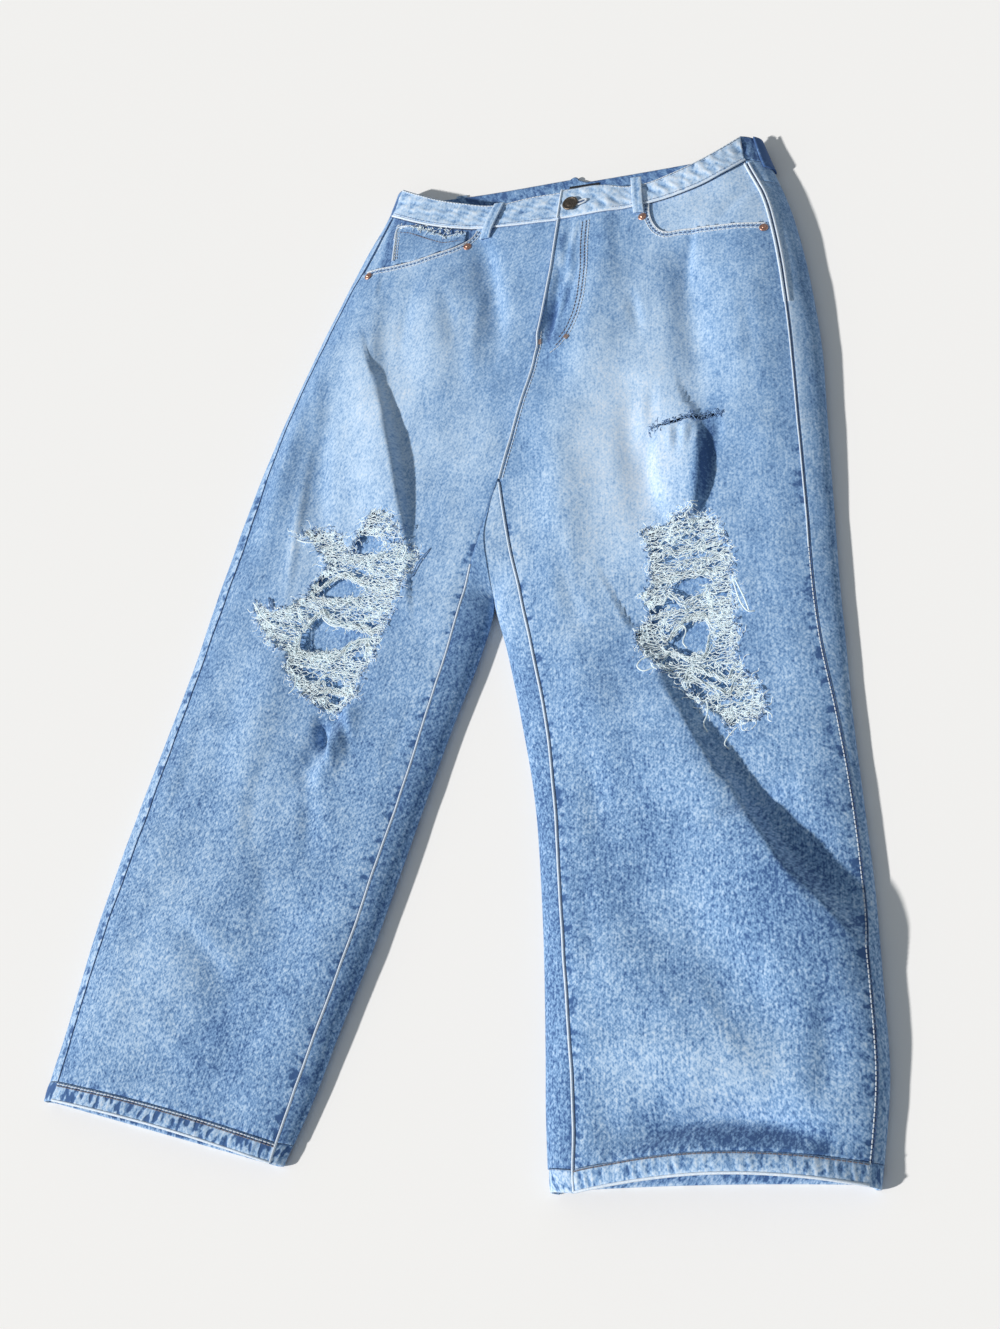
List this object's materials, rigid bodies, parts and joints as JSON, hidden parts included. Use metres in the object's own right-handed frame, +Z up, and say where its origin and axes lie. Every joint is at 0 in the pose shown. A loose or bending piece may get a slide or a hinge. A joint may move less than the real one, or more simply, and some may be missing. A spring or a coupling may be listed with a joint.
{
  "type": "ripped jeans",
  "caption": "Wide-leg light blue denim jeans laid flat on their back, with frayed rips across both knees and a slit at one thigh.",
  "frame": {"origin": "middle of the footprint, on the surface the jeans lie on", "axes": "+X towards the wearer's left leg, +Y from the hems to the waist, +Z up out of the front of the jeans"},
  "size_m": [0.8016, 1.052, 0.0462],
  "materials": {
    "denim": "light-wash blue denim twill, faded on the thighs and knees",
    "pocket_facing": "the same denim, less worn",
    "zip_tape": "woven tape",
    "bare_weft": "loose undyed cotton threads",
    "label": "plain woven label",
    "button": "dark antiqued",
    "rivets": "copper plated, worn"
  },
  "bodies": {
    "root": {"back_left": "denim", "back_pocket_left": "denim", "back_pocket_right": "denim", "back_right": "denim", "button": "button", "coin_pocket": "denim", "fly_shield": "denim", "front_left": "denim", "front_right": "denim", "hem_left": "denim", "hem_right": "denim", "label": "label", "loop_back_middle": "denim", "loop_back_right": "denim", "loop_front_left": "denim", "loop_front_right": "denim", "loop_side_left": "denim", "pocket_facing_left": "pocket_facing", "pocket_facing_right": "pocket_facing", "rivet_left_middle": "rivets", "rivet_left_side": "rivets", "rivet_right_middle": "rivets", "rivet_right_side": "rivets", "waistband_back": "denim", "waistband_front_left": "denim", "waistband_front_right": "denim", "weft_left": "bare_weft", "weft_right": "bare_weft", "yoke_left": "denim", "yoke_right": "denim", "zip_tape": "zip_tape"}
  },
  "joints": []
}
